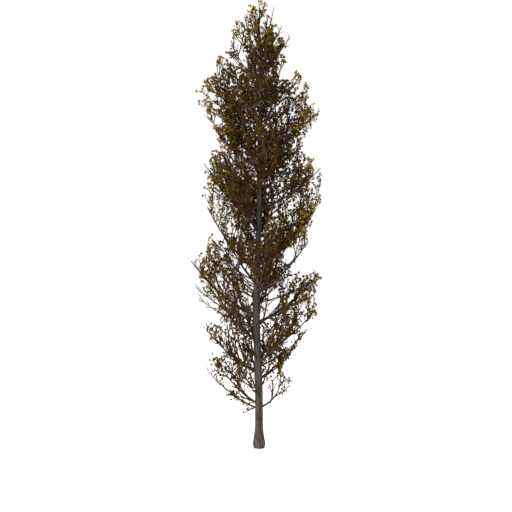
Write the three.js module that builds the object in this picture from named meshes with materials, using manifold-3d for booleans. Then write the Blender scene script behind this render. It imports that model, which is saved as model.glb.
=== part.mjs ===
// A Lombardy poplar in thin autumn leaf, 20 m tall: one trunk from a flat cut at ground level, boughs that
// leave it at an angle and sweep upwards, and a mass of twigs and leaves round the end of each.
// Millimetres, +Z up; the origin is the middle of the cut under the trunk. Azimuth 0 is +X, 90 is +Y, 180
// is -X and 270 is -Y.
//
// One rule grows the crown. An offshoot leaves what carries it at a set angle, turned round it by the
// golden angle from the one before, and bends upwards. Its length is at most a share of the room left in
// that direction inside its mass's own space. The shoots round a stem, and the sprays of leaves on a shoot,
// are two rounds of that rule.

import * as THREE from "three";
import { mergeVertices } from "three/addons/utils/BufferGeometryUtils.js";
import Module from "manifold-3d";

const wasm = await Module();
wasm.setup();

// ---------- driving dimensions ----------

const TREE_HEIGHT = 20000;
const TRUNK_TOP = 17700; // above this the leader goes on as the stem of the top mass
const TRUNK_RADIUS = 178; // at breast height, under the bark's ridges
const TRUNK_TAPER = 1.6; // the power by which the trunk thins towards the tree's top
const TRUNK_SIDES = 18;
const TRUNK_RINGS = 14;
const RING_CROWDING = 1.7; // above 1, the rings lie closer together towards the foot
const TRUNK_BOWS = [
  { from: 1800, length: 9000, x: -115, y: 70 }, // to the left and away, most at half its length
  { from: 12500, length: 7500, x: 60, y: -60 },
];
const FLARE_GAIN = 0.56; // how much wider the foot is than the trunk above it
const FLARE_HEIGHT = 600;
const FLARE_LOBES = 5;
const LOBE_GAIN = 0.13;

const BOUGH_RADIUS = 24; // of a bough with no length; each metre of limb adds BOUGH_RADIUS_PER_METRE
const BOUGH_RADIUS_PER_METRE = 11;
const BOUGH_SHARE = 0.52; // the most that a bough's radius is of the trunk's where it leaves it
const BOUGH_SIDES = 6;
const BOUGH_RINGS = 4;
const COLLAR_GAIN = 0.55; // the swelling where a bough leaves the trunk
const COLLAR_LENGTH = 0.1; // as a share of the limb
const LIMB_TIP_SHARE = 0.3; // a limb's radius at its tip, as a share of its foot's
const LIMB_OUT = 0.56; // how far out, and how far up, a limb bends, as shares of its reach and its rise
const LIMB_UP = 0.3;

const BARE_SHARE_LOW = 0.4; // where a space begins, as a share of its limb, at the ground and at the top
const BARE_SHARE_HIGH = -0.15;
const SPACE_WIDTH = 0.14; // a mass's half width, as a share of its limb, and what is added to it
const SPACE_WIDTH_MORE = 400;
const SPACE_LONGER = 1.07; // its length over the length of limb in it
const SPACE_LIFT = 0.25; // how far the space stands above its limb, as a share of its half width
const SPACE_MARGIN = 12; // what each mass keeps clear of its neighbours' spaces

const STEM_SIDES = 4;
const STEM_RINGS = 3;
const STEM_SLIMNESS = 0.84; // a stem's radius over that of the bough that it goes on from
const STEM_SUNK = 0.02; // how far into its bough it goes, as a share of the limb, before it is cut clear
const OFFSHOOT_BEND = 0.45; // where an offshoot bends, as a share of its length
const FOOT_GAIN = 1.15; // its length at the foot of what carries it, and how much less it is at its tip
const TIP_LOSS = 0.3;
const SPREAD_CHANGE = 0.15; // how much an offshoot's angle may vary, up or down, and its length, down
const LENGTH_CHANGE = 0.18;
const ROOM_SHARE = 0.97; // the most that an offshoot takes of the room in front of it
const TWIG_SIDES = 3;
const SHOOTS = 6; // round one stem
const TOP_SHOOTS = 9;
const SHOOT_LAST = 0.97; // where the last of them leaves the stem
const SHOOT_WISH = 1.5; // the length wished for, over the half length of the mass's space
const SHOOT_LEAST = 420;
const SHOOT_SPREAD = 54; // degrees from the stem
const SHOOT_UPTURN = 0.9;
const SHOOT_SLIMNESS = 0.5; // a shoot's radius at its foot, over that of the limb there
const SHOOT_TIP_RADIUS = 8;
const SPRAYS = 3; // on the sides of a shoot, besides the one at its end
const SPRAY_FIRST = 0.05; // where the first and the last of them leave the shoot
const SPRAY_LAST = 0.65;
const SPRAY_SPREAD = 50;
const SPRAY_UPTURN = 0.45;
const SPRAY_LENGTH = 850;
const SPRAY_LEAST = 400;
const SPRAY_WIDTH = 0.66; // of its length
const SPRAY_WIDEST = 0.45; // where it is widest, from its foot
const SPRAY_THICKNESS = 30;
const END_SPRAY_SHARE = 0.7; // the most of a shoot that its end spray takes

const SEAT_GAP = 0.3; // between a limb and what grows out of it
const LIMB_CLEARANCE = 8; // between foliage and any limb that it passes
const LEAF_CLEARANCE = 4; // between two pieces of one mass, where they aren't joined
const SMALLEST_STEP = 0.5; // corners closer to flat than this are left out after joining
const GOLDEN_ANGLE = Math.PI * (3 - Math.sqrt(5));
const KEY_LIMIT = 99991; // twig keys stay below this prime

// Each row is one limb: its name, the height at which it leaves the trunk, its azimuth, and the reach and
// the height of its tip. The lowest on the right bends further out than the rest before it rises, so its
// row adds its bend. The first BARE_LIMBS also have a length of bough as a piece of its own, up to where it
// enters its mass.
const LIMBS = [
  ["low_left", 1940, 188, 1950, 4000],
  ["lowest_right", 1780, 350, 900, 3600, 1.35, 0.3],
  ["low_front_left", 2350, 226, 1000, 3500],
  ["low_back", 2860, 82, 1750, 4650],
  ["low_right", 3070, 12, 1620, 4350],
  ["left_1", 3370, 172, 2520, 5450],
  ["front_right_1", 3820, 322, 1750, 5500],
  ["right_1", 4140, 350, 2600, 6200],
  ["back_1", 4500, 104, 2250, 6500],
  ["front_left_1", 4760, 218, 2100, 6750],
  ["right_2", 5550, 8, 2820, 7800],
  ["left_2", 5850, 176, 2950, 8350],
  ["back_2", 6200, 66, 2350, 8350],
  ["front_2", 6750, 283, 2050, 9350],
  ["right_3", 6900, 338, 2450, 9250],
  ["back_left_3", 7350, 128, 2350, 9600],
  ["left_3", 7900, 190, 2250, 10750],
  ["right_4", 8150, 14, 2750, 10750],
  ["back_4", 9300, 88, 2350, 11700],
  ["front_left_4", 9700, 236, 2200, 12100],
  ["right_5", 10600, 352, 2800, 12500],
  ["left_5", 10700, 172, 2550, 12750],
  ["front_5", 11500, 284, 2000, 13950],
  ["back_right_5", 11700, 58, 2250, 13900],
  ["left_6", 12500, 196, 2500, 14700],
  ["back_left_6", 12900, 132, 2250, 15000],
  ["right_6", 13100, 4, 2800, 15150],
  ["front_7", 14000, 254, 1900, 16100],
  ["back_7", 14350, 78, 2000, 16450],
  ["left_7", 14700, 176, 2600, 16400],
  ["right_7", 15050, 340, 2200, 16800],
  ["back_left_8", 15800, 116, 1600, 17900],
  ["left_8", 16100, 196, 1500, 18350],
  ["front_8", 16300, 286, 1350, 18500],
  ["right_8", 16500, 18, 1350, 18850],
];
const BARE_LIMBS = 18; // higher up the stems grow straight from the trunk

const TOP_RISE = TREE_HEIGHT - TRUNK_TOP;
const TOP_ROOM = 60; // above the leader's tip, for the sprays round it
const TOP_HALF_WIDTH = 1000;
const UP = new THREE.Vector3(0, 0, 1);

// ---------- helpers ----------

const radians = THREE.MathUtils.degToRad;

// A number from 0 to 1 that depends only on its two keys.
function chance(key, salt) {
  const s = Math.sin(key * 12.9898 + salt * 78.233) * 43758.5453;
  return s - Math.floor(s);
}

// A closed geometry as a solid that can be joined and cut.
function solidOf(geometry) {
  const plain = new THREE.BufferGeometry();
  plain.setAttribute("position", geometry.getAttribute("position"));
  if (geometry.index) plain.setIndex(geometry.index);
  const merged = mergeVertices(plain, 1e-3);
  return new wasm.Manifold(
    new wasm.Mesh({
      numProp: 3,
      vertProperties: merged.getAttribute("position").array,
      triVerts: new Uint32Array(merged.index.array),
    }),
  );
}

function geometryOf(solid) {
  const mesh = solid.getMesh();
  const geometry = new THREE.BufferGeometry();
  geometry.setAttribute("position", new THREE.BufferAttribute(new Float32Array(mesh.vertProperties), 3));
  geometry.setIndex(new THREE.BufferAttribute(new Uint32Array(mesh.triVerts), 1));
  geometry.computeVertexNormals();
  return geometry;
}

const evenly = (count) => Array.from({ length: count + 1 }, (_, i) => i / Math.max(count, 1));

// A closed limb with rings at the given stations along pathAt(t), t from 0 to 1. sizeAt(t, angle) gives a
// ring's two half sizes, along the vector across, which is roughly square to the whole path, and square to
// both. A pointed limb closes at its tip. A grown one is wider, and longer at its end, by grow.
function limbSolid({ pathAt, sizeAt, across, sides, stations, pointed }, grow = 0) {
  const rings = stations.length - 1;
  const geometry = new THREE.CylinderGeometry(pointed ? 0 : 1, 1, 1, sides, rings);
  const position = geometry.getAttribute("position");
  const step = 1e-3;
  for (let i = 0; i < position.count; i++) {
    const t = stations[Math.round((position.getY(i) + 0.5) * rings)];
    const tangent = pathAt(t + step).sub(pathAt(t - step)).normalize();
    const side = across.clone().addScaledVector(tangent, -across.dot(tangent)).normalize();
    const lift = new THREE.Vector3().crossVectors(side, tangent);
    const angle = Math.atan2(position.getZ(i), position.getX(i));
    const onRing = Math.hypot(position.getX(i), position.getZ(i)) > 1e-6;
    const [width, depth] = onRing ? sizeAt(t, angle).map((size) => size + grow) : [0, 0];
    const point = pathAt(t)
      .addScaledVector(side, Math.cos(angle) * width)
      .addScaledVector(lift, Math.sin(angle) * depth);
    if (t === 1) point.addScaledVector(tangent, grow);
    position.setXYZ(i, point.x, point.y, point.z);
  }
  return solidOf(geometry);
}

// ---------- the trunk ----------

// The trunk's axis is upright, with a slight bow low down and another near the top.
function trunkAxis(height) {
  const axis = new THREE.Vector3(0, 0, height);
  for (const bow of TRUNK_BOWS) {
    const along = THREE.MathUtils.clamp((height - bow.from) / bow.length, 0, 1);
    const amount = Math.sin(Math.PI * along) ** 2;
    axis.x += bow.x * amount;
    axis.y += bow.y * amount;
  }
  return axis;
}

function trunkRadius(height) {
  const taper = 1 - (Math.max(height, 0) / TREE_HEIGHT) ** TRUNK_TAPER;
  const flare = 1 + FLARE_GAIN * Math.exp(-((Math.max(height, 0) / FLARE_HEIGHT) ** 2));
  return TRUNK_RADIUS * taper * flare;
}

const trunkHeightAt = (t) => TRUNK_TOP * Math.sign(t) * Math.abs(t) ** RING_CROWDING;

const trunkLimb = {
  pathAt: (t) => trunkAxis(trunkHeightAt(t)),
  sizeAt: (t, angle) => {
    const height = trunkHeightAt(t);
    const lobe = LOBE_GAIN * Math.cos(FLARE_LOBES * (angle + Math.PI / 2));
    const radius = trunkRadius(height) * (1 + lobe * Math.exp(-((height / FLARE_HEIGHT) ** 2)));
    return [radius, radius];
  },
  across: new THREE.Vector3(1, 0, 0),
  sides: TRUNK_SIDES,
  stations: evenly(TRUNK_RINGS),
};

// ---------- limbs: the boughs, and the stems that carry on from them ----------

// One limb's own frame and its whole path, from the trunk's axis to its tip.
function makeLimb([name, height, azimuth, reach, top, bendOut = LIMB_OUT, bendUp = LIMB_UP], index) {
  const turn = radians(azimuth);
  const outward = new THREE.Vector3(Math.cos(turn), Math.sin(turn), 0);
  const foot = trunkAxis(height);
  const rise = top - height;
  const bend = foot.clone().addScaledVector(outward, bendOut * reach).addScaledVector(UP, bendUp * rise);
  const tip = foot.clone().addScaledVector(outward, reach).addScaledVector(UP, rise);
  const length = foot.distanceTo(tip);
  const radius = BOUGH_RADIUS + (BOUGH_RADIUS_PER_METRE * length) / 1000;
  return {
    name,
    key: index + 1,
    outward,
    across: new THREE.Vector3(-outward.y, outward.x, 0),
    curve: new THREE.QuadraticBezierCurve3(foot, bend, tip),
    length,
    radius: Math.min(radius, BOUGH_SHARE * trunkRadius(height)),
    shoots: SHOOTS,
    bare: THREE.MathUtils.lerp(BARE_SHARE_LOW, BARE_SHARE_HIGH, height / TREE_HEIGHT),
    lift: SPACE_LIFT,
    halfWidth: SPACE_WIDTH * length + SPACE_WIDTH_MORE,
  };
}

// The leader carries on from the trunk's tip to the top of the tree.
function makeLeader(index) {
  const foot = trunkAxis(TRUNK_TOP);
  const tip = new THREE.Vector3(0, 0, TREE_HEIGHT - TOP_ROOM);
  return {
    name: "top",
    key: index + 1,
    outward: new THREE.Vector3(1, 0, 0),
    across: new THREE.Vector3(0, 1, 0),
    curve: new THREE.QuadraticBezierCurve3(foot, foot.clone().lerp(tip, 0.5), tip),
    length: TOP_RISE,
    radius: trunkRadius(TRUNK_TOP),
    shoots: TOP_SHOOTS,
    bare: 0,
    lift: 0,
    halfWidth: TOP_HALF_WIDTH,
  };
}

const limbRadiusAt = (limb, t) =>
  limb.radius * (1 - (1 - LIMB_TIP_SHARE) * t) * (1 + COLLAR_GAIN * Math.exp(-t / COLLAR_LENGTH));

// ---------- the space of each mass ----------

// An ellipsoid with its far end at the limb's tip. Its near end is on the straight line from the limb's
// foot to its tip: well out from the trunk on the lowest limbs, and past the trunk near the top, where the
// crown is dense.
function addSpace(limb) {
  const foot = limb.curve.getPoint(0);
  const tip = limb.curve.getPoint(1);
  const near = foot.lerp(tip, limb.bare);
  limb.along = tip.clone().sub(near).normalize();
  limb.halfLength = (SPACE_LONGER * near.distanceTo(tip)) / 2;
  limb.centre = near.lerp(tip, 0.5).addScaledVector(UP, limb.lift * limb.halfWidth);
}

// The planes that part a mass from its neighbours. Each passes between two centres, at a share given by
// their half widths, and runs more along the two masses than across them, as they are longer than they are
// wide.
function addWalls(limb, limbs) {
  limb.walls = limbs
    .filter((other) => other !== limb)
    .map((other) => {
      const between = other.centre.clone().sub(limb.centre);
      const along = limb.along.clone().add(other.along).normalize();
      const slimness = (limb.halfWidth + other.halfWidth) / (limb.halfLength + other.halfLength);
      const normal = between
        .clone()
        .addScaledVector(along, -(1 - slimness ** 2) * between.dot(along))
        .normalize();
      const share = limb.halfWidth / (limb.halfWidth + other.halfWidth);
      const point = limb.centre.clone().addScaledVector(between, share);
      return { normal, offset: normal.dot(point) - SPACE_MARGIN };
    });
}

// How far one can go from a point, in a direction, before leaving the limb's space; negative outside it.
function roomFrom(limb, point, direction) {
  const stretch = (v) => {
    const lengthwise = v.dot(limb.along);
    return v
      .clone()
      .addScaledVector(limb.along, -lengthwise)
      .divideScalar(limb.halfWidth)
      .addScaledVector(limb.along, lengthwise / limb.halfLength);
  };
  const p = stretch(point.clone().sub(limb.centre));
  const d = stretch(direction);
  const a = d.dot(d);
  const b = p.dot(d);
  const c = p.dot(p) - 1;
  if (c > 0) return -1;
  let room = (-b + Math.sqrt(b * b - a * c)) / a;
  for (const { normal, offset } of limb.walls) {
    const left = offset - normal.dot(point);
    if (left < 0) return -1;
    const speed = normal.dot(direction);
    if (speed > 0) room = Math.min(room, left / speed);
  }
  return room;
}

const inside = (limb, points) => points.every((point) => roomFrom(limb, point, UP) >= 0);

// Where the limb's own path enters its space for good, as a share of the path.
function entryOf(limb) {
  const steps = 60;
  let entry = 1;
  for (let i = steps; i > 0; i--) {
    if (!inside(limb, [limb.curve.getPoint(i / steps)])) break;
    entry = i / steps;
  }
  return entry;
}

// ---------- the growing rule ----------

// The k-th offshoot of count along a carrying curve, between its first and last shares. The wish is its
// length if nothing is in the way. Returns null where the space leaves less than the least length.
function offshoot(limb, carrier, k, habit) {
  const t = habit.first + ((habit.last - habit.first) * (k + 0.5)) / habit.count;
  const foot = carrier.curve.getPoint(t);
  const tangent = carrier.curve.getTangent(t);
  const key = (carrier.key * 31 + k + 1) % KEY_LIMIT;
  const side = new THREE.Vector3().crossVectors(tangent, limb.outward).normalize();
  const lift = new THREE.Vector3().crossVectors(side, tangent);
  const turn = GOLDEN_ANGLE * k + 2 * Math.PI * chance(carrier.key, 1);
  const spread = radians(habit.spread) * (1 + SPREAD_CHANGE * (2 * chance(key, 2) - 1));
  const start = tangent
    .clone()
    .multiplyScalar(Math.cos(spread))
    .addScaledVector(side, Math.cos(turn) * Math.sin(spread))
    .addScaledVector(lift, Math.sin(turn) * Math.sin(spread));
  const end = start.clone().addScaledVector(UP, habit.upturn).normalize();
  const chord = start.clone().lerp(end, 1 - OFFSHOOT_BEND);
  const stretch = chord.length();
  const room = roomFrom(limb, foot, chord.normalize()) / stretch;
  const wish = habit.wish * (FOOT_GAIN - TIP_LOSS * t);
  const length = Math.min(wish, room * ROOM_SHARE) * (1 - LENGTH_CHANGE * chance(key, 3));
  if (length < habit.least) return null;
  const bend = foot.clone().addScaledVector(start, OFFSHOOT_BEND * length);
  const tip = bend.clone().addScaledVector(end, (1 - OFFSHOOT_BEND) * length);
  return { key, length, t, curve: new THREE.QuadraticBezierCurve3(foot, bend, tip) };
}

const stemOf = (limb) => ({ key: limb.key * 101, curve: limb.curve });

function shootsOf(limb) {
  const habit = {
    count: limb.shoots,
    first: limb.entry,
    last: SHOOT_LAST,
    spread: SHOOT_SPREAD,
    upturn: SHOOT_UPTURN,
    wish: SHOOT_WISH * limb.halfLength,
    least: SHOOT_LEAST,
  };
  return Array.from({ length: limb.shoots }, (_, k) => offshoot(limb, stemOf(limb), k, habit));
}

function spraysOf(limb, shoot) {
  const habit = {
    count: SPRAYS,
    first: SPRAY_FIRST,
    last: SPRAY_LAST,
    spread: SPRAY_SPREAD,
    upturn: SPRAY_UPTURN,
    wish: SPRAY_LENGTH,
    least: SPRAY_LEAST,
  };
  return Array.from({ length: SPRAYS }, (_, k) => offshoot(limb, shoot, k, habit));
}

// ---------- solids of the foliage ----------

// A limb whose last part is a spray: slim up to the spray's foot, widest a little further on, and pointed.
function sprayedLimb({ pathAt, radiusAt, across, sides, rings, length }) {
  const sprayLength = Math.min(SPRAY_LENGTH, END_SPRAY_SHARE * length);
  const foot = 1 - sprayLength / length;
  const widest = THREE.MathUtils.lerp(foot, 1, SPRAY_WIDEST);
  return limbSolid({
    pathAt,
    sizeAt: (t) =>
      t === widest ? [(SPRAY_WIDTH * sprayLength) / 2, SPRAY_THICKNESS / 2] : Array(2).fill(radiusAt(t)),
    across,
    sides,
    stations: [...evenly(rings).map((t) => t * foot), widest, 1],
    pointed: true,
  });
}

function shootSolid(limb, { curve, length, key, t: onStem }) {
  const turn = 2 * Math.PI * chance(key, 4);
  const footRadius = SHOOT_SLIMNESS * limbRadiusAt(limb, onStem);
  return sprayedLimb({
    pathAt: (t) => curve.getPoint(t),
    radiusAt: (t) => (t === 0 ? footRadius : SHOOT_TIP_RADIUS),
    across: new THREE.Vector3(Math.cos(turn), Math.sin(turn), 0.3),
    sides: TWIG_SIDES,
    rings: 1,
    length,
  });
}

// A spray on a shoot's side, as a blade of four faces: two of its corners are its root and its tip, and the
// other two lie to its sides, in the plane of the shoot. Its root is at the middle of the shoot.
function spraySolid({ curve, length }, along) {
  const root = curve.getPoint(0);
  const tip = curve.getPoint(1);
  const direction = tip.clone().sub(root).normalize();
  const side = along.clone().addScaledVector(direction, -along.dot(direction)).normalize();
  const thickness = new THREE.Vector3().crossVectors(side, direction).multiplyScalar(SPRAY_THICKNESS);
  const middle = root.clone().lerp(tip, SPRAY_WIDEST).add(thickness);
  const halfWidth = (SPRAY_WIDTH * length) / 2;
  const left = middle.clone().addScaledVector(side, halfWidth);
  const right = middle.clone().addScaledVector(side, -halfWidth);
  const geometry = new THREE.TetrahedronGeometry(1);
  const position = geometry.getAttribute("position");
  for (let i = 0; i < position.count; i++) {
    const pair = position.getZ(i) > 0 ? [root, tip] : [left, right];
    const corner = pair[position.getX(i) > 0 ? 1 : 0];
    position.setXYZ(i, corner.x, corner.y, corner.z);
  }
  return solidOf(geometry);
}

function cornersOf(solid) {
  const { vertProperties } = solid.getMesh();
  return Array.from({ length: vertProperties.length / 3 }, (_, i) =>
    new THREE.Vector3().fromArray(vertProperties, 3 * i),
  );
}

// Everything on one stem, joined into one closed body. What would leave the space, come near a limb or
// cross another piece is skipped. With a bough the stem starts at the bough's tip, and without one at the
// trunk; the seats cut it clear of either. A scrap left by the cut is dropped.
function massSolid(limb, wood, seats) {
  const root = limb.bough ? limb.entry - STEM_SUNK : 0;
  const stem = sprayedLimb({
    pathAt: (t) => limb.curve.getPoint(root + (1 - root) * t),
    radiusAt: (t) => STEM_SLIMNESS * limbRadiusAt(limb, root + (1 - root) * t),
    across: limb.across,
    sides: STEM_SIDES,
    rings: STEM_RINGS,
    length: limb.length * (1 - root),
  });
  const pieces = [stem];
  const place = (solid, carrier) => {
    const others = pieces.filter((piece) => piece !== carrier);
    const placed =
      inside(limb, cornersOf(solid)) &&
      solid.minGap(wood, LIMB_CLEARANCE) >= LIMB_CLEARANCE &&
      others.every((other) => solid.minGap(other, LEAF_CLEARANCE) >= LEAF_CLEARANCE);
    if (placed) pieces.push(solid);
    return placed;
  };
  for (const shoot of shootsOf(limb).filter(Boolean)) {
    const twig = shootSolid(limb, shoot);
    if (!place(twig, stem)) continue;
    for (const spray of spraysOf(limb, shoot).filter(Boolean)) {
      place(spraySolid(spray, shoot.curve.getTangent(spray.t)), twig);
    }
  }
  const bodies = wasm.Manifold.union(pieces).simplify(SMALLEST_STEP).subtract(seats).decompose();
  return bodies.sort((a, b) => b.volume() - a.volume())[0];
}

// ---------- the tree ----------

const limbs = LIMBS.map(makeLimb);
limbs.push(makeLeader(limbs.length));
limbs.forEach(addSpace);
limbs.forEach((limb) => addWalls(limb, limbs));
limbs.forEach((limb) => (limb.entry = limb.name === "top" ? 0 : entryOf(limb)));

const bark = new THREE.MeshStandardMaterial({ color: 0x6b6257, roughness: 0.92, metalness: 0 });
const leaf = new THREE.MeshStandardMaterial({ color: 0x6a4f16, roughness: 0.62, metalness: 0 });

const tree = new THREE.Group();
function addMesh(name, solid, material) {
  const mesh = new THREE.Mesh(geometryOf(solid), material);
  mesh.name = name;
  tree.add(mesh);
}

const trunk = limbSolid(trunkLimb);
const trunkSeat = limbSolid(trunkLimb, SEAT_GAP);
addMesh("trunk", trunk, bark);

const wood = [trunk];
const seats = [trunkSeat];
for (const limb of limbs.slice(0, BARE_LIMBS)) {
  limb.bough = {
    pathAt: (t) => limb.curve.getPoint(t * limb.entry),
    sizeAt: (t) => Array(2).fill(limbRadiusAt(limb, t * limb.entry)),
    across: limb.across,
    sides: BOUGH_SIDES,
    stations: evenly(BOUGH_RINGS),
  };
  const bough = limbSolid(limb.bough).subtract(trunkSeat);
  addMesh("bough_" + limb.name, bough, bark);
  wood.push(bough);
  seats.push(limbSolid(limb.bough, SEAT_GAP));
}
const allWood = wasm.Manifold.union(wood);
const allSeats = wasm.Manifold.union(seats);

for (const limb of limbs) addMesh("foliage_" + limb.name, massSolid(limb, allWood, allSeats), leaf);

export default tree;
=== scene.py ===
# %% [markdown]
# # A Lombardy poplar in thin autumn leaf
#
# The real tree is one straight trunk with boughs that leave it at an angle and then sweep upwards. Each
# bough carries risers, shoots, twigs and twiglets, and the leaves hang in sprays on the last of them.
#
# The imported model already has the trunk, the boughs and one solid for each mass of foliage. This lesson
# grows the same crown again by the same rule, and carries it on to fine twigs and to leaves of nearly life
# size. The whole tree is worked out with numpy arrays, because a crown has far too many twigs to make one
# at a time.
#
# All sizes are in metres, with +Z up. Azimuth 0 is +X, 90 is +Y, 180 is -X and 270 is -Y.

# %% The frame
from dataclasses import dataclass

import bpy
import numpy as np
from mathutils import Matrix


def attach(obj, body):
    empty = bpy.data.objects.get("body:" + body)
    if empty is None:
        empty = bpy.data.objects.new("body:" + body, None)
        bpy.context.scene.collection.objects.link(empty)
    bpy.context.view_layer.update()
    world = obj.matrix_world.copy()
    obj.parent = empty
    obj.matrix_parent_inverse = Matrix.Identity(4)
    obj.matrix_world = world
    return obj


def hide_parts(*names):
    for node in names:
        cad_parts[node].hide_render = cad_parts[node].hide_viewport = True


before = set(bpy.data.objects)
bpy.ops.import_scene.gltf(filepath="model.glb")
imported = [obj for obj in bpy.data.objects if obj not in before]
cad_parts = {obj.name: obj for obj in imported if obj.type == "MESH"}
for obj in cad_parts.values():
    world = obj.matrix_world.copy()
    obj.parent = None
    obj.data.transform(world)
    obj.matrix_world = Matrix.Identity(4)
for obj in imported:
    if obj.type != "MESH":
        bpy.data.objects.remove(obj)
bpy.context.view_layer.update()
bough_nodes = sorted(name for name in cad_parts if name.startswith("bough_"))
foliage_nodes = sorted(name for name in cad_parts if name.startswith("foliage_"))

# %% [markdown]
# ## The driving dimensions
#
# A tree is grown from few numbers: its height, the trunk's radius and taper, and for each limb where it
# leaves the trunk, which way it goes and where its tip is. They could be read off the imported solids, but
# then the finer twigs would have no rule to follow. So the table is written out again here.

# %% The trunk's and the limbs' dimensions
TREE_HEIGHT = 20.0
TRUNK_TOP = 17.7  # above this the leader goes on
TRUNK_RADIUS = 0.178  # at breast height
TRUNK_TAPER = 1.6  # the power by which the trunk thins towards the tree's top
TRUNK_BOWS = [  # each from a height, over a length, by so much along X and Y at the middle
    (1.8, 9.0, -0.115, 0.07),
    (12.5, 7.5, 0.06, -0.06),
]
FLARE_GAIN = 0.56  # how much wider the foot is than the trunk above it
FLARE_HEIGHT = 0.6
FLARE_LOBES = 5
LOBE_GAIN = 0.13  # how far the lobes of the foot stand out, of the radius

# name, height at the trunk, azimuth, reach and height of the tip; the lowest on the right adds its bend
LIMBS = [
    ("low_left", 1.94, 188, 1.95, 4.0),
    ("lowest_right", 1.78, 350, 0.9, 3.6, 1.35, 0.3),
    ("low_front_left", 2.35, 226, 1.0, 3.5),
    ("low_back", 2.86, 82, 1.75, 4.65),
    ("low_right", 3.07, 12, 1.62, 4.35),
    ("left_1", 3.37, 172, 2.52, 5.45),
    ("front_right_1", 3.82, 322, 1.75, 5.5),
    ("right_1", 4.14, 350, 2.6, 6.2),
    ("back_1", 4.5, 104, 2.25, 6.5),
    ("front_left_1", 4.76, 218, 2.1, 6.75),
    ("right_2", 5.55, 8, 2.82, 7.8),
    ("left_2", 5.85, 176, 2.95, 8.35),
    ("back_2", 6.2, 66, 2.35, 8.35),
    ("front_2", 6.75, 283, 2.05, 9.35),
    ("right_3", 6.9, 338, 2.45, 9.25),
    ("back_left_3", 7.35, 128, 2.35, 9.6),
    ("left_3", 7.9, 190, 2.25, 10.75),
    ("right_4", 8.15, 14, 2.75, 10.75),
    ("back_4", 9.3, 88, 2.35, 11.7),
    ("front_left_4", 9.7, 236, 2.2, 12.1),
    ("right_5", 10.6, 352, 2.8, 12.5),
    ("left_5", 10.7, 172, 2.55, 12.75),
    ("front_5", 11.5, 284, 2.0, 13.95),
    ("back_right_5", 11.7, 58, 2.25, 13.9),
    ("left_6", 12.5, 196, 2.5, 14.7),
    ("back_left_6", 12.9, 132, 2.25, 15.0),
    ("right_6", 13.1, 4, 2.8, 15.15),
    ("front_7", 14.0, 254, 1.9, 16.1),
    ("back_7", 14.35, 78, 2.0, 16.45),
    ("left_7", 14.7, 176, 2.6, 16.4),
    ("right_7", 15.05, 340, 2.2, 16.8),
    ("back_left_8", 15.8, 116, 1.6, 17.9),
    ("left_8", 16.1, 196, 1.5, 18.35),
    ("front_8", 16.3, 286, 1.35, 18.5),
    ("right_8", 16.5, 18, 1.35, 18.85),
]
LIMB_OUT = 0.56  # how far out, and how far up, a limb bends, as shares of its reach and its rise
LIMB_UP = 0.3
BOUGH_RADIUS = 0.024  # of a bough with no length, and what each metre of limb adds
BOUGH_RADIUS_PER_METRE = 0.011
BOUGH_SHARE = 0.52  # the most that a bough's radius is of the trunk's where it leaves it
LIMB_TIP_SHARE = 0.3  # a limb's radius at its tip, over that at its foot
COLLAR_GAIN = 0.55  # the swelling where a bough leaves the trunk
COLLAR_LENGTH = 0.1
TOP_ROOM = 0.06  # from the leader's tip to the tree's full height
print("tree", TREE_HEIGHT, "m high, with", len(LIMBS), "limbs and a leader")

# %% [markdown]
# ## Numbers by chance, and vectors
#
# A crown needs variety, and the same variety each time. A random generator would give other numbers as
# soon as one twig is added, so each number is worked out from the twig's own key instead.

# %% Helpers
UP = np.array([0.0, 0.0, 1.0])
NEARLY_UP = np.array([0.02, 0.01, 1.0])  # for what is square to a twig, which may be quite upright


def chance(key, salt):
    """A number from 0 to 1: the part after the point of 43758.5453 times the sine of both keys, mixed."""
    s = np.sin(key * 12.9898 + salt * 78.233) * 43758.5453
    return s - np.floor(s)


def unit(v):
    """Each vector over its own length."""
    return v / np.maximum(np.linalg.norm(v, axis=-1, keepdims=True), 1e-12)


def dot(a, b):
    """The sum of the products of two arrays of vectors, with the last axis kept."""
    return np.sum(a * b, axis=-1, keepdims=True)


def lerp(a, b, share):
    """From a to b by a share."""
    return a + (b - a) * share


def level(turn, up=0.0):
    """The vector (cos, sin, up) for each angle."""
    return np.stack([np.cos(turn), np.sin(turn), np.full(len(turn), up)], axis=1)


def square_to(axis, turn, reference):
    """A vector square to each axis and turned round it: side cos(turn) + lift sin(turn), with the side
    square to the reference too."""
    side = unit(np.cross(axis, reference))
    return side * np.cos(turn) + np.cross(side, axis) * np.sin(turn)


def smooth_noise(x, y, around, salt):
    """Soft lumps one unit wide: chance numbers on whole x and y, blended by 3s^2 - 2s^3 between them. It
    repeats after `around` units of x, so that it closes round a trunk."""
    x0 = np.floor(x)
    y0 = np.floor(y)
    sx = (x - x0) ** 2 * (3 - 2 * (x - x0))
    sy = (y - y0) ** 2 * (3 - 2 * (y - y0))
    corner = [[chance(np.mod(x0 + i, around) + 131 * (y0 + j), salt) for i in (0, 1)] for j in (0, 1)]
    return lerp(lerp(corner[0][0], corner[0][1], sx), lerp(corner[1][0], corner[1][1], sx), sy)


# %% [markdown]
# ## Curves by the thousand
#
# Every limb and twig is one curve with a foot, a bend and a tip. Thousands of them could be Blender curve
# objects, but arrays that hold all feet, all bends and all tips are far quicker, and one function then
# gives points on all of them at once.

# %% Curves


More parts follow.
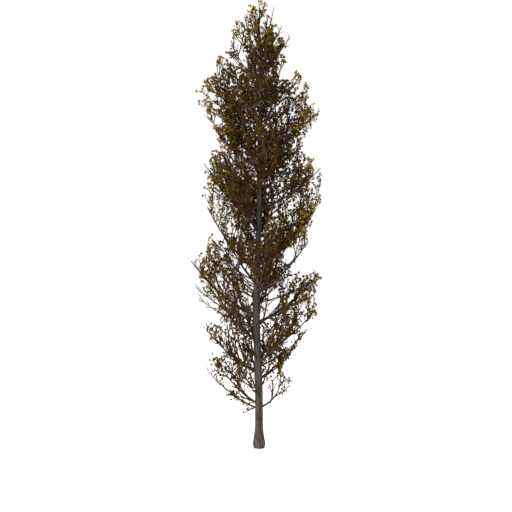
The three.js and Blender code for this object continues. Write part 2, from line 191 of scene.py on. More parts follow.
@dataclass
class Curves:
    """Many curves at once, each with a number of its own (key) and the radius at its foot."""

    key: np.ndarray
    foot: np.ndarray
    bend: np.ndarray
    tip: np.ndarray
    radius: np.ndarray

    def pick(self, which):
        """The curves at an array of places, or those where an array is true."""
        return Curves(*(getattr(self, field)[which] for field in self.__dataclass_fields__))

    def with_keys(self, keys):
        """The same curves with other keys, so that other offshoots grow on them."""
        return Curves(keys, self.foot, self.bend, self.tip, self.radius)

    def joined(self, other):
        """These curves, and the others after them."""
        fields = self.__dataclass_fields__
        return Curves(*(np.concatenate([getattr(self, f), getattr(other, f)]) for f in fields))

    def points(self, t):
        """(1-t)^2 foot + 2 t (1-t) bend + t^2 tip, for one row of shares t, or a row for each curve."""
        t = t[..., None]
        foot, bend, tip = (np.expand_dims(p, 1) for p in (self.foot, self.bend, self.tip))
        return (1 - t) ** 2 * foot + 2 * t * (1 - t) * bend + t**2 * tip

    def directions(self, t):
        """The same curve's slope, 2 (1-t) (bend-foot) + 2 t (tip-bend), made one long."""
        t = t[..., None]
        foot, bend, tip = (np.expand_dims(p, 1) for p in (self.foot, self.bend, self.tip))
        return unit((1 - t) * (bend - foot) + t * (tip - bend))

    def at(self, t):
        """One point on each curve by its own share, and the direction there."""
        return self.points(t[:, None])[:, 0], self.directions(t[:, None])[:, 0]

    def lengths(self):
        """Close to the true length: the mean of the chord and the two legs."""
        legs = np.linalg.norm(self.bend - self.foot, axis=1) + np.linalg.norm(self.tip - self.bend, axis=1)
        return (legs + np.linalg.norm(self.tip - self.foot, axis=1)) / 2


# %% [markdown]
# ## The trunk's line, and the limbs
#
# The trunk is upright with two slight bows, and thins by a power of the height, as a real stem does. Each
# limb bends once: out first, and then up.

# %% The trunk's axis and radius, and the limbs' curves


def trunk_axis(height):
    """Upright, plus a sine-squared bow over each stretch in TRUNK_BOWS."""
    axis = np.stack([np.zeros_like(height), np.zeros_like(height), height], axis=-1)
    for start, length, x, y in TRUNK_BOWS:
        amount = np.sin(np.pi * np.clip((height - start) / length, 0, 1)) ** 2
        axis += amount[..., None] * np.array([x, y, 0])
    return axis


def trunk_radius(height):
    """The taper 1 - (height / tree's height)^power, times a flare that dies away above the foot."""
    above = np.maximum(height, 0)
    taper = 1 - (above / TREE_HEIGHT) ** TRUNK_TAPER
    return TRUNK_RADIUS * taper * (1 + FLARE_GAIN * np.exp(-((above / FLARE_HEIGHT) ** 2)))


rows = [row if len(row) == 7 else (*row, LIMB_OUT, LIMB_UP) for row in LIMBS]
names = [row[0] for row in rows] + ["top"]
heights, azimuths, reaches, tops, bends_out, bends_up = np.array([row[1:] for row in rows], float).T
turns = np.radians(azimuths)
outward = level(turns)
feet = trunk_axis(heights)
rises = (tops - heights)[:, None]
reach = reaches[:, None]
bends = feet + outward * bends_out[:, None] * reach + UP * bends_up[:, None] * rises
tips = feet + outward * reach + UP * rises
lengths = np.linalg.norm(tips - feet, axis=1)
radii = np.minimum(BOUGH_RADIUS + BOUGH_RADIUS_PER_METRE * lengths, BOUGH_SHARE * trunk_radius(heights))

leader_foot = trunk_axis(np.array([TRUNK_TOP]))
leader_tip = np.array([[0, 0, TREE_HEIGHT - TOP_ROOM]])
outward = np.vstack([outward, [[1, 0, 0]]])
limbs = Curves(
    key=np.arange(1, len(names) + 1),
    foot=np.vstack([feet, leader_foot]),
    bend=np.vstack([bends, (leader_foot + leader_tip) / 2]),
    tip=np.vstack([tips, leader_tip]),
    radius=np.append(radii, trunk_radius(np.array([TRUNK_TOP]))),
)
limb_lengths = np.linalg.norm(limbs.tip - limbs.foot, axis=1)
print("limbs", len(names), "longest", round(float(limb_lengths.max()), 2), "m")

# %% [markdown]
# ## The crown's outline
#
# Boughs on a real tree share the light out between them, and together they fill an outline that goes in
# and out with their ends. A lattice could be squeezed round the crown afterwards, but that bends every
# twig, so here nothing is let grow past the outline in the first place.

# %% The outline's numbers
# the crown's reach to the left and to the right of the trunk at each height
CROWN_HEIGHTS = [1.6, 2.2, 2.9, 3.6, 4.3, 5.0, 5.7, 6.1, 6.8, 7.5, 8.3, 8.9, 9.7, 10.4]
CROWN_HEIGHTS += [11.1, 12.3, 12.9, 13.5, 14.6, 15.3, 16.0, 16.5, 17.1, 17.8, 18.7, 19.2, 19.7, 20.0]
CROWN_LEFT = [0.75, 1.4, 1.9, 2.4, 2.1, 2.3, 2.5, 1.9, 2.4, 2.7, 2.9, 2.6, 2.1, 2.1, 2.6, 2.5, 2.5, 1.8]
CROWN_LEFT += [2.2, 2.7, 2.85, 2.4, 2.15, 1.45, 1.2, 1.05, 0.55, 0.1]
CROWN_RIGHT = [0.1, 0.7, 1.7, 1.0, 1.6, 2.0, 2.5, 2.6, 2.6, 2.8, 2.8, 2.1, 2.3, 2.5, 2.8, 2.8, 2.6, 2.2]
CROWN_RIGHT += [2.65, 2.8, 2.3, 2.0, 1.3, 1.35, 0.95, 0.5, 0.4, 0.2]
CROWN_DEPTH = 0.86  # its reach to the front and back, over the mean of left and right
print("crown's reach", max(CROWN_LEFT), "and", max(CROWN_RIGHT), "m, from", len(CROWN_HEIGHTS), "heights")

# %% Inside and outside the outline
ROOM_STEPS = 8


def crown_reach(height):
    """How far the crown reaches to the left, to the right, and to the front and back at a height."""
    left = np.interp(height, CROWN_HEIGHTS, CROWN_LEFT)
    right = np.interp(height, CROWN_HEIGHTS, CROWN_RIGHT)
    return left, right, CROWN_DEPTH * (left + right) / 2


def outerness(point):
    """0 at the trunk's line and 1 on the crown's outline: the root of (x / reach)^2 + (y / reach)^2."""
    left, right, deep = crown_reach(point[..., 2])
    reach_x = np.where(point[..., 0] < 0, left, right)
    return np.sqrt((point[..., 0] / reach_x) ** 2 + (point[..., 1] / deep) ** 2)


def room_from(point, direction, wish, limit):
    """How much of the wished length keeps its outerness below the limit, by the first of ROOM_STEPS points
    ahead that doesn't."""
    steps = np.arange(1, ROOM_STEPS + 1) / ROOM_STEPS
    ahead = point[:, None] + direction[:, None] * (wish[:, None] * steps)[..., None]
    inside = outerness(ahead) < limit
    reached = np.where(inside.all(axis=1), ROOM_STEPS, np.argmin(inside, axis=1))
    return wish * reached / ROOM_STEPS


# %% Where each limb's first twigs are, and where it ends
# how far from the trunk a limb's first twigs are, by the height of its foot
BARE_HEIGHTS = [2.0, 5.0, 8.0, 12.0]
BARE_REACH = [0.42, 0.2, 0.2, 0.12]
TRIM_ABOVE = 9.0  # higher limbs stop at the outline; the lower ones stick out bare
TRIM_FROM = 0.5  # no limb is cut shorter than this share
shares = np.linspace(0, 1, 61)
samples = limbs.points(shares)
away = np.linalg.norm((samples - limbs.foot[:, None])[..., :2], axis=2)
bare_reach = np.interp(limbs.foot[:, 2], BARE_HEIGHTS, BARE_REACH)
entry = np.where(limbs.foot[:, 2] < TRUNK_TOP, shares[np.argmax(away > bare_reach[:, None], axis=1)], 0)
past = (outerness(samples) > 1.0) & (shares > TRIM_FROM) & (limbs.foot[:, 2:] > TRIM_ABOVE)
end_share = np.where(past.any(axis=1), shares[np.argmax(past, axis=1)], 1.0)[:, None]
limbs.tip = limbs.points(end_share)[:, 0]
limbs.bend = lerp(limbs.foot, limbs.bend, end_share)
print("first twigs", dict(zip(names, entry.round(2))), "ends", end_share[:, 0].round(2))

# %% [markdown]
# ## One rule for every twig
#
# An offshoot leaves what carries it at a set angle, turned by the golden angle from the one before it,
# and bends upwards. On the real tree that keeps twigs out of each other's light. Its length is at most a
# share of the room left in front of it. The same function grows the risers, the shoots, the twigs and the
# twiglets.
#
# The crown isn't even: stretches of the trunk show from the front, and the sky shows in patches between the
# boughs. Those places are listed, and most of the twigs that would cross them are left out.

# %% Where few twigs grow
BARE_FRONT = [  # where few twigs hide a limb: sideways from the trunk, from and to, and between two heights
    (-0.24, 0.24, 1.5, 7.3),
    (-0.24, 0.24, 9.3, 11.2),
    (0.25, 1.1, 10.85, 11.35),
    (-0.07, 0.07, 14.6, 15.8),
]
BARE_SHARE = 0.9  # of the twigs there that are left out
SKY_GAPS = [  # where the sky shows between the boughs: x and z of the middle, half the width and height
    (-0.72, 17.3, 0.26, 0.28),
    (0.15, 18.95, 0.12, 0.15),
    (1.25, 16.7, 0.38, 0.33),
    (2.6, 15.3, 0.3, 0.3),
    (-1.9, 14.55, 0.3, 0.2),
    (-2.4, 12.8, 0.2, 0.25),
    (2.55, 12.4, 0.2, 0.25),
    (-1.9, 9.9, 0.2, 0.2),
    (-1.2, 9.7, 0.15, 0.15),
    (-1.1, 8.5, 0.12, 0.15),
    (-2.7, 9.1, 0.3, 0.3),
    (1.4, 8.5, 0.25, 0.3),
    (-0.6, 7.9, 0.2, 0.35),
    (2.2, 8.35, 0.75, 0.55),
    (0.75, 8.1, 0.12, 0.15),
    (0.7, 6.62, 0.21, 0.25),
    (1.4, 6.55, 0.12, 0.12),
    (0.42, 5.95, 0.2, 0.18),
    (-1.95, 6.5, 0.2, 0.2),
    (-1.8, 7.15, 0.15, 0.2),
    (-1.45, 6.85, 0.12, 0.12),
    (-1.9, 4.3, 0.3, 0.3),
    (1.4, 4.75, 0.25, 0.25),
    (0.75, 3.45, 0.12, 0.12),
    (0.8, 2.85, 0.15, 0.2),
    (-0.53, 2.5, 0.25, 0.25),
    (-1.3, 2.9, 0.2, 0.2),
    (-1.15, 3.42, 0.12, 0.12),
    (2.0, 5.45, 0.2, 0.18),
    (1.9, 6.15, 0.15, 0.12),
]
GAP_SHARE = 0.7
print("stretches in front of limbs", len(BARE_FRONT), "and gaps", len(SKY_GAPS))

# %% Which twigs are left out


def clear_of_trunk(curves, gap):
    """True where five points on a curve all stay a gap outside the trunk."""
    p = curves.points(np.linspace(0.2, 1, 5))
    away = np.linalg.norm((p - trunk_axis(p[..., 2]))[..., :2], axis=-1)
    return (away > trunk_radius(p[..., 2]) + gap).all(axis=1)


def hides_limb(curves):
    """True for curves with a point straight in front of a limb that shows between the masses."""
    p = curves.points(np.array([0.3, 0.6, 1.0]))
    aside = p[..., 0] - trunk_axis(p[..., 2])[..., 0]
    hides = np.zeros(aside.shape, bool)
    for left, right, low, high in BARE_FRONT:
        hides |= (aside > left) & (aside < right) & (p[..., 2] > low) & (p[..., 2] < high)
    return (hides & (p[..., 1] < 0)).any(axis=1)


def in_sky_gap(curves):
    """True for curves with one of three points in a gap: (x / half width)^2 + (z / half height)^2 < 1."""
    p = curves.points(np.array([0.4, 0.7, 1.0]))
    inside = np.zeros(p.shape[:2], bool)
    for x, z, half_width, half_height in SKY_GAPS:
        inside |= ((p[..., 0] - x) / half_width) ** 2 + ((p[..., 2] - z) / half_height) ** 2 < 1
    return inside.any(axis=1)


# %% The growing rule
FOOT_GAIN = 1.15  # an offshoot's length at the foot of what carries it, over its wish
SPREAD_CHANGE = 0.35  # how far the spread may differ by chance, of itself
ROOM_SHARE = 0.97  # of the room ahead, the most that an offshoot takes
UPTURN_RANGE = (0.3, 1.5)  # what the upturn is multiplied by, by chance
CARRIER_TAPER = 0.6  # how much thinner a carrier is at its tip, for the offshoots' own radius
TRUNK_GAP = 0.01  # how far every offshoot stays clear of the trunk
GOLDEN_ANGLE = np.pi * (3 - np.sqrt(5))
KEY_LIMIT = 99991  # a prime, so that few twigs share a key


@dataclass
class Habit:
    """How offshoots grow: every so much (spacing) from share first to share last of their carrier. spread
    is the angle to it in degrees, upturn how strongly the end turns up, wish the length if nothing is in
    the way, and slimness the foot's radius over the carrier's there. tip_loss is how much shorter they
    are at the carrier's tip, change how much shorter one may be by chance, and bend where it bends. lift
    turns the way it starts towards upright, and limit is the outerness at which it stops, 1 being the
    crown's outline."""

    spacing: float
    first: float
    last: float
    spread: float
    upturn: float
    wish: float
    least: float
    slimness: float
    tip_loss: float = 0.5
    change: float = 0.5
    bend: float = 0.4
    lift: float = 0.2
    limit: float = 1.0


def offshoots(carriers, habit):
    """The offshoots of all carriers by one habit, and the number of each one's carrier. A habit's spacing,
    first, wish, upturn and lift may be one number, or one for each carrier."""
    everyone = np.arange(len(carriers.key))
    varied = (habit.spacing, habit.first, habit.wish, habit.upturn, habit.lift)
    spacing, first, wish, upturn, lift_up = (np.broadcast_to(value, len(everyone)) for value in varied)
    counts = np.ceil(carriers.lengths() * (habit.last - first) / spacing).astype(int)
    own = np.repeat(everyone, counts)
    k = np.arange(len(own)) - np.repeat(np.cumsum(counts) - counts, counts)
    on = carriers.pick(own)
    t = first[own] + (habit.last - first[own]) * (k + 0.5) / counts[own]
    foot, tangent = on.at(t)
    key = (on.key * 31 + k + 1) % KEY_LIMIT
    tangent = unit(tangent + UP * lift_up[own][:, None])
    turn = (GOLDEN_ANGLE * k + 2 * np.pi * chance(on.key, 1))[:, None]
    angle = (np.radians(habit.spread) * (1 + SPREAD_CHANGE * (2 * chance(key, 2) - 1)))[:, None]
    start = tangent * np.cos(angle) + square_to(tangent, turn, NEARLY_UP) * np.sin(angle)
    end = unit(start + UP * (upturn[own] * lerp(*UPTURN_RANGE, chance(key, 13)))[:, None])
    chord = lerp(start, end, 1 - habit.bend)
    wish = wish[own] * (FOOT_GAIN - habit.tip_loss * t)
    room = room_from(foot, chord, wish, habit.limit)
    length = np.minimum(wish, room * ROOM_SHARE) * (1 - habit.change * chance(key, 3))
    bend = foot + start * habit.bend * length[:, None]
    tip = bend + end * (1 - habit.bend) * length[:, None]
    made = Curves(key, foot, bend, tip, on.radius * (1 - CARRIER_TAPER * t) * habit.slimness)
    keep = length >= habit.least
    keep[keep] = clear_of_trunk(made.pick(keep), TRUNK_GAP)
    keep[keep] = ~hides_limb(made.pick(keep)) | (chance(key[keep], 12) > BARE_SHARE)
    keep[keep] = ~in_sky_gap(made.pick(keep)) | (chance(key[keep], 14) > GAP_SHARE)
    return made.pick(keep), own[keep]


# %% [markdown]
# ## Tubes by the thousand
#
# A limb or twig is a tube that thins to a point. Rings of corners round every curve come out of one array
# formula, and the same numbering of corners joins the rings on all of them.

# %% Tubes


def tubes(centres, directions, ring_radii, across):
    """Rings of corners round n paths of r points: centre + radius (cos a side + sin a lift). ring_radii is
    n by r - 1 by sides, as the last point of each path is its tip. Side is the vector across, made square
    to the path. Returns the corners, and the four-sided and three-sided faces and the foot's caps."""
    n, rings, sides = ring_radii.shape
    angle = np.arange(sides) * 2 * np.pi / sides
    tangent = directions[:, :rings]
    side = unit(across[:, None] - tangent * dot(across[:, None], tangent))
    lift = np.cross(tangent, side)
    round_ring = side[:, :, None] * np.cos(angle)[:, None] + lift[:, :, None] * np.sin(angle)[:, None]
    corners = centres[:, :rings, None] + round_ring * ring_radii[..., None]
    points = np.concatenate([corners.reshape(n, rings * sides, 3), centres[:, rings:]], axis=1)
    base = (np.arange(n) * (rings * sides + 1))[:, None, None]
    ring = (np.arange(rings - 1) * sides)[:, None]
    here = np.arange(sides)
    there = (here + 1) % sides
    quads = np.stack([ring + here, ring + there, ring + sides + there, ring + sides + here], axis=-1)
    quads = (base[..., None] + quads).reshape(-1, 4)
    last = (rings - 1) * sides
    fan = np.stack([last + here, last + there, np.full(sides, rings * sides)], axis=-1)
    fans = (base + fan).reshape(-1, 3)
    caps = (base[:, 0] + here[::-1]).reshape(-1, sides)
    return points.reshape(-1, 3), [quads, fans, caps]


# %% Meshes


def mesh_piece(name, points, faces, material, nodes, smooth=True):
    """One object from arrays: its corners, and sets of faces with the same number of corners each."""
    mesh = bpy.data.meshes.new(name)
    mesh.vertices.add(len(points))
    mesh.vertices.foreach_set("co", np.ascontiguousarray(points, np.float32).ravel())
    corners = np.concatenate([f.ravel() for f in faces])
    sizes = np.concatenate([np.full(len(f), f.shape[1]) for f in faces])
    mesh.loops.add(len(corners))
    mesh.loops.foreach_set("vertex_index", corners.astype(np.int32))
    mesh.polygons.add(len(sizes))
    starts = np.concatenate([[0], np.cumsum(sizes)[:-1]])
    mesh.polygons.foreach_set("loop_start", starts.astype(np.int32))
    mesh.update(calc_edges=True)
    mesh.polygons.foreach_set("use_smooth", np.full(len(sizes), smooth))
    mesh.materials.append(material)
    piece = bpy.data.objects.new(name, mesh)
    bpy.context.scene.collection.objects.link(piece)
    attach(piece, "root")
    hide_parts(*nodes)
    print(name, len(points), "corners,", int((sizes - 2).sum()), "triangles")
    return piece


# %% [markdown]
# ## Bark
#
# Old poplar bark is grey-brown, split into long upright ridges with dark furrows between them, and it
# gets smoother and paler up the tree; higher up it is also made paler as painted light, against the
# crown's shade on the trunk. The furrows are real relief in the mesh. The colour could come from a picture,
# but a shader that knows how deep each spot lies colours every furrow in its right place, so each corner
# keeps a number for its depth.

# %% Nodes for the materials


def new_material(name, roughness, specular):
    """A material with its own shader node, whose plain numbers are set on the shader's sockets."""
    material = bpy.data.materials.new(name)
    material.use_nodes = True
    shader = material.node_tree.nodes["Principled BSDF"]
    shader.inputs["Roughness"].default_value = roughness
    shader.inputs["Specular IOR Level"].default_value = specular
    return material, material.node_tree, shader


def noise_node(tree, scale, detail, stretch=(1, 1, 1)):
    """Noise on the piece's own coordinates, drawn out along an axis where its stretch is under one."""
    coordinates = tree.nodes.new("ShaderNodeTexCoord")
    mapping = tree.nodes.new("ShaderNodeMapping")
    mapping.inputs["Scale"].default_value = stretch
    noise = tree.nodes.new("ShaderNodeTexNoise")
    noise.inputs["Scale"].default_value = scale
    noise.inputs["Detail"].default_value = detail
    tree.links.new(coordinates.outputs["Object"], mapping.inputs["Vector"])
    tree.links.new(mapping.outputs["Vector"], noise.inputs["Vector"])
    return noise


def ramp_node(tree, source, stops):
    """Colours at their places from 0 to 1."""
    ramp = tree.nodes.new("ShaderNodeValToRGB")
    tree.links.new(source, ramp.inputs["Fac"])
    while len(ramp.color_ramp.elements) < len(stops):
        ramp.color_ramp.elements.new(0.5)
    for element, (place, colour) in zip(ramp.color_ramp.elements, stops):
        element.position = place
        element.color = (*colour, 1)
    return ramp


def mix_node(tree, blend, share, first, second):
    """Two colours mixed. The share is a number, or an output that gives it."""
    mix = tree.nodes.new("ShaderNodeMix")
    mix.data_type = "RGBA"
    mix.blend_type = blend
    if isinstance(share, (int, float)):
        mix.inputs["Factor"].default_value = share
    else:
        tree.links.new(share, mix.inputs["Factor"])
    tree.links.new(first, mix.inputs["A"])
    tree.links.new(second, mix.inputs["B"])
    return mix.outputs["Result"]


def add_bump(tree, shader, height, distance, strength):
    """Fine relief that the mesh is too coarse for."""
    bump = tree.nodes.new("ShaderNodeBump")
    bump.inputs["Strength"].default_value = strength
    bump.inputs["Distance"].default_value = distance
    tree.links.new(height, bump.inputs["Height"])
    tree.links.new(bump.outputs["Normal"], shader.inputs["Normal"])


# %% The bark's two materials


def make_ridged_bark():
    """Dark in the furrows and grey-brown on the ridges, by the attribute depth; blotched by noise."""
    material, tree, shader = new_material("ridged_bark", 0.92, 0.1)
    depth = tree.nodes.new("ShaderNodeAttribute")
    depth.attribute_name = "depth"
    furrow = (0.012, 0.009, 0.007)
    side = (0.066, 0.055, 0.045)
    ridge = (0.215, 0.194, 0.168)
    ridges = ramp_node(tree, depth.outputs["Fac"], [(0.0, furrow), (0.45, side), (1.0, ridge)])
    blotches = noise_node(tree, 3.0, 4, (1, 1, 0.35))
    tones = ramp_node(tree, blotches.outputs["Fac"], [(0.3, (0.5, 0.47, 0.43)), (0.7, (1.0, 1.0, 0.97))])
    colour = mix_node(tree, "MULTIPLY", 1.0, ridges.outputs["Color"], tones.outputs["Color"])
    tree.links.new(colour, shader.inputs["Base Color"])
    grain = noise_node(tree, 60.0, 5, (1, 1, 0.3))
    add_bump(tree, shader, grain.outputs["Fac"], 0.004, 0.6)
    return material


def make_twig_bark():
    """Reddish brown, with darker and greyer stretches."""
    material, tree, shader = new_material("twig_bark", 0.85, 0.04)
    patches = noise_node(tree, 2.2, 3)
    dark = (0.042, 0.018, 0.008)
    middle = (0.080, 0.039, 0.018)
    pale = (0.138, 0.079, 0.045)
    tones = ramp_node(tree, patches.outputs["Fac"], [(0.3, dark), (0.5, middle), (0.72, pale)])
    tree.links.new(tones.outputs["Color"], shader.inputs["Base Color"])
    grain = noise_node(tree, 120.0, 3)
    add_bump(tree, shader, grain.outputs["Fac"], 0.001, 0.4)
    return material


ridged_bark = make_ridged_bark()
twig_bark = make_twig_bark()
print("materials", ridged_bark.name, "and", twig_bark.name)

# %% The trunk's relief
TRUNK_SIDES = 84
TRUNK_RINGS = 1060
RING_CROWDING = 1.25  # above 1, the rings lie closer together towards the foot
RIDGES = 15  # round the trunk at the foot
RIDGE_DEPTH = 0.016  # from the top of a ridge to the furrow, low down
RIDGE_DEPTH_HIGH = 0.003
RIDGE_FADE = 5.5  # the height over which the ridges fade, roughly
RIDGE_LENGTH = 0.45  # how far a ridge runs before it bends or forks
FOOT_TUCK = 0.2  # how far the foot draws in again at the ground, and over what height
FOOT_TUCK_HEIGHT = 0.17


def ridge_height(angle, height):
    """From 0 in a furrow to 1 on a ridge. Two sets of waves round the trunk, each bent by noise as it
    climbs, are |sin| to a small power, which is broad on top and narrow below. Where either is low there
    is a furrow, so the ridges join and part as they climb."""
    turn = angle / (2 * np.pi)
    climb = height / RIDGE_LENGTH
    bend = smooth_noise(turn * 7, climb, 7, 11) + 0.5 * smooth_noise(turn * 16, 2.3 * climb, 16, 12)
    other = smooth_noise(turn * 5, 0.8 * climb, 5, 13) + 0.4 * smooth_noise(turn * 12, 2.0 * climb, 12, 14)
    first = np.abs(np.sin(np.pi * (RIDGES * turn + 1.5 * bend))) ** 0.45
    second = np.abs(np.sin(np.pi * ((RIDGES - 4) * turn - 1.7 * other + 0.4 * climb))) ** 0.35
    plates = 0.75 + 0.25 * smooth_noise(turn * 30, 6 * climb, 30, 15)
    return np.minimum(first, second) * plates


# %% [markdown]
# ## The trunk
#
# A tube along the trunk's line, with more rings towards the foot, where one can stand close to it. Its
# radius is the taper, the root lobes and the ridges together. A Displace modifier could raise the ridges,
# but then the bark's colour couldn't be told how deep each corner lies.

# %% The trunk's mesh


def set_depth(piece, values):
    """Gives each corner its depth, from 0 in a furrow to 1 on a ridge, for the bark's colour."""
    depth = piece.data.attributes.new("depth", "FLOAT", "POINT")
    depth.data.foreach_set("value", values.astype(np.float32).ravel())


RELIEF_MIDDLE = 0.6  # the height between furrow and ridge that lies on the trunk's own radius
SWELL = 0.035  # slow swellings along the trunk, of its radius
SMOOTHER_AND_PAINTED_LIGHT_FROM = 3.5  # the bark gets smoother and paler above this height, over the height given next, partly as smoother bark and partly as painted light against the crown's shade
SMOOTHER_AND_PAINTED_LIGHT_OVER = 8
SMOOTHER_AND_PAINTED_LIGHT_MOST = 0.65
SMOOTH_AND_PAINTED_LIGHT_DEPTH = 0.9  # the depth given to smooth bark, nearly that of a ridge; on the upper trunk it is also painted light
TIP_DEPTH = 0.4
steps = np.linspace(0, 1, TRUNK_RINGS + 1)
ring_heights = TRUNK_TOP * steps**RING_CROWDING
angles = np.arange(TRUNK_SIDES) * 2 * np.pi / TRUNK_SIDES
H, A = np.meshgrid(ring_heights[:-1], angles, indexing="ij")
tuck = 1 - FOOT_TUCK * np.exp(-((H / FOOT_TUCK_HEIGHT) ** 2))
lobes = 1 + LOBE_GAIN * np.cos(FLARE_LOBES * (A + np.pi / 2)) * np.exp(-((H / FLARE_HEIGHT) ** 2))
relief = ridge_height(A, H)
relief_depth = RIDGE_DEPTH_HIGH + (RIDGE_DEPTH - RIDGE_DEPTH_HIGH) * np.exp(-((H / RIDGE_FADE) ** 2))
swell = 1 + SWELL * (smooth_noise(A / (2 * np.pi) * 3, H * 1.1, 3, 16) - 0.5)
trunk_radii = trunk_radius(H) * lobes * tuck * swell + relief_depth * (relief - RELIEF_MIDDLE)
trunk_path = trunk_axis(ring_heights)
path_slopes = unit(np.gradient(trunk_path, axis=0))
path_slopes[0] = UP
corners, faces = tubes(
    trunk_path[None], path_slopes[None], trunk_radii[None], np.array([[1.0, 0.0, 0.0]])
)
trunk_piece = mesh_piece("trunk_bark", corners, faces, ridged_bark, ["trunk"])
# painted light: up the trunk the depth, and so the colour, is drawn towards a ridge's paler one, partly as
# smoother bark and partly to offset the crown's shade
smoother_and_painted_light_up = np.clip((H - SMOOTHER_AND_PAINTED_LIGHT_FROM) / SMOOTHER_AND_PAINTED_LIGHT_OVER, 0, SMOOTHER_AND_PAINTED_LIGHT_MOST)
set_depth(trunk_piece, np.append(lerp(relief, SMOOTH_AND_PAINTED_LIGHT_DEPTH, smoother_and_painted_light_up), TIP_DEPTH))

# %% [markdown]
# ## The boughs
#
# Every limb is a tube from the trunk's middle to its tip, with a collar where it leaves the trunk and
# shallow ridges of its own. It could stop where the foliage begins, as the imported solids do, but here the
# leaves are open enough to see the limb go on inside.

# %% The boughs' mesh
BOUGH_SIDES = 14
BOUGH_RINGS = 56
BOUGH_RELIEF = 0.07  # of the radius
BOUGH_LUMPS = 7  # round a bough
BOUGH_LUMPS_PER_METRE = 5
LIMB_STEP = 7.3  # how far along the lumps each limb starts after the one before, so that they differ
BOUGH_DEPTH_WITH_PAINTED_LIGHT = (0.35, 0.4)  # the depth in a hollow, and what a lump adds; both kept high, so the boughs are paler than the old bark at the trunk's foot, partly as smoother bark and partly as painted light against the crown's shade
BOUGH_TIP_DEPTH = 0.3


def limb_radius(radius, t):
    """Thins evenly to LIMB_TIP_SHARE, times the collar's swelling."""
    return radius * (1 - (1 - LIMB_TIP_SHARE) * t) * (1 + COLLAR_GAIN * np.exp(-t / COLLAR_LENGTH))


t = np.linspace(0, 1, BOUGH_RINGS + 1)
limb_radii = limb_radius(limbs.radius[:, None], t[:-1])
turn = np.arange(BOUGH_SIDES) / BOUGH_SIDES
far_along = t[:-1, None] * limb_lengths[:, None, None] + LIMB_STEP * limbs.key[:, None, None]
bough_relief = smooth_noise(turn * BOUGH_LUMPS, far_along * BOUGH_LUMPS_PER_METRE, BOUGH_LUMPS, 21)
limb_radii = limb_radii[..., None] * (1 + BOUGH_RELIEF * (bough_relief - 0.5) * 2)
limb_across = np.stack([-outward[:, 1], outward[:, 0], np.zeros(len(names))], axis=1)
corners, faces = tubes(limbs.points(t), limbs.directions(t), limb_radii, limb_across)
bough_piece = mesh_piece("boughs_bark", corners, faces, ridged_bark, bough_nodes)
# painted light: the boughs' colour depth never falls to the dark furrow colour, which lightens them against
# the crown's shade as well as showing smoother bark
ring_depth_with_painted_light = BOUGH_DEPTH_WITH_PAINTED_LIGHT[0] + BOUGH_DEPTH_WITH_PAINTED_LIGHT[1] * bough_relief.reshape(len(names), -1)
set_depth(bough_piece, np.hstack([ring_depth_with_painted_light, np.full((len(names), 1), BOUGH_TIP_DEPTH)]))

# %% [markdown]
# ## Risers and small boughs
#
# Each limb of the real tree carries long stems that rise steeply beside it, and small boughs leave the
# trunk between the limbs. A Geometry Nodes tree could place them too, but this rule has to know how much
# room is left in the crown, which is easier to work out here. The small boughs come in three sets: one
# every so much up the trunk, more where a wide space would be left, and some that stick out with bare ends.

# %% The risers' habit
LOW_BELOW = 7.0  # the limbs below this height spread more, and fully so LOW_BLEND further down
LOW_BLEND = 3.5
LOW = np.clip((LOW_BELOW - limbs.foot[:, 2]) / LOW_BLEND, 0, 1)
RISERS = Habit(
    spacing=0.19,
    first=entry,
    last=0.98,
    spread=38,
    upturn=lerp(1.8, 0.5, LOW),
    wish=0.9 * limb_lengths,
    least=0.3,
    slimness=0.65,
    bend=0.35,
    lift=lerp(0.5, 0.1, LOW),
)
print("limbs that spread more", int((LOW > 0).sum()))

# %% The small boughs' numbers
LESSER_FROM = 6.4  # the heights at the trunk between which they grow, and the step from one to the next
LESSER_TO = 18.3
LESSER_EVERY = 0.17
LESSER_SCATTER = 0.8  # how far one may be off its step, of a step
LESSER_SWING = 0.6  # how far it may be turned off the golden angle, in radians
LESSER_RISE = (0.9, 2.0)
LESSER_REACH = (0.35, 1.0)  # of the crown's reach at the tip
LESSER_RADIUS = 0.03
LESSER_SHARE = 0.5  # the most that their radius is of the trunk's
LESSER_KEY = 501  # added to a small bough's number for its key
FILLING_FROM = 201  # the number of the first one in FILLING

